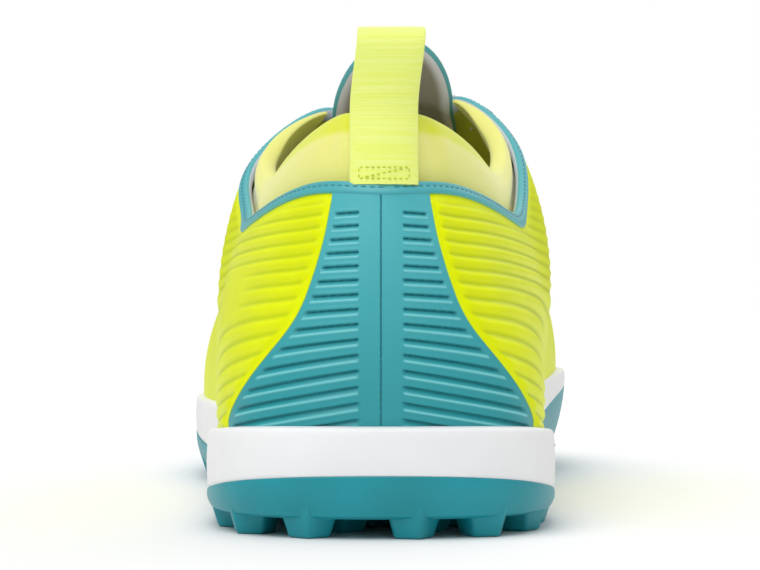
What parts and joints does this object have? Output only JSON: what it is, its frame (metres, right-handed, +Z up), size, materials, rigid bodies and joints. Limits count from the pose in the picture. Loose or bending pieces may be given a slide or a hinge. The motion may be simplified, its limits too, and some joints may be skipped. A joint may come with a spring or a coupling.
{
  "type": "football shoe",
  "caption": "Low left football shoe for artificial turf, with a padded sock collar, a heel pull loop, a laced throat, a moulded heel panel and a rubber sole with short lugs.",
  "frame": {"origin": "centre of the bounding box's footprint, on the plane of the lug tips", "axes": "+Y from the heel to the toe, +X towards the inner side of the foot, +Z up"},
  "size_m": [0.1037, 0.285, 0.1128],
  "materials": {
    "outsole": "matt moulded rubber",
    "midsole": "matt moulded foam",
    "insole": "knitted cover on foam",
    "upper": "satin moulded skin on textile",
    "heel_counter": "satin moulded panel",
    "edge_binding": "folded edge tape",
    "eyestay": "satin facing",
    "collar": "padded stretch knit",
    "tongue": "padded knit",
    "pull_loop": "woven webbing",
    "lace": "flat woven lace"
  },
  "bodies": {
    "root": {"outsole": "outsole", "midsole": "midsole", "insole": "insole", "upper": "upper", "heel_counter": "heel_counter", "edge_binding": "edge_binding", "eyestay": "eyestay", "collar": "collar", "tongue": "tongue", "pull_loop": "pull_loop", "lace": "lace"}
  },
  "joints": []
}
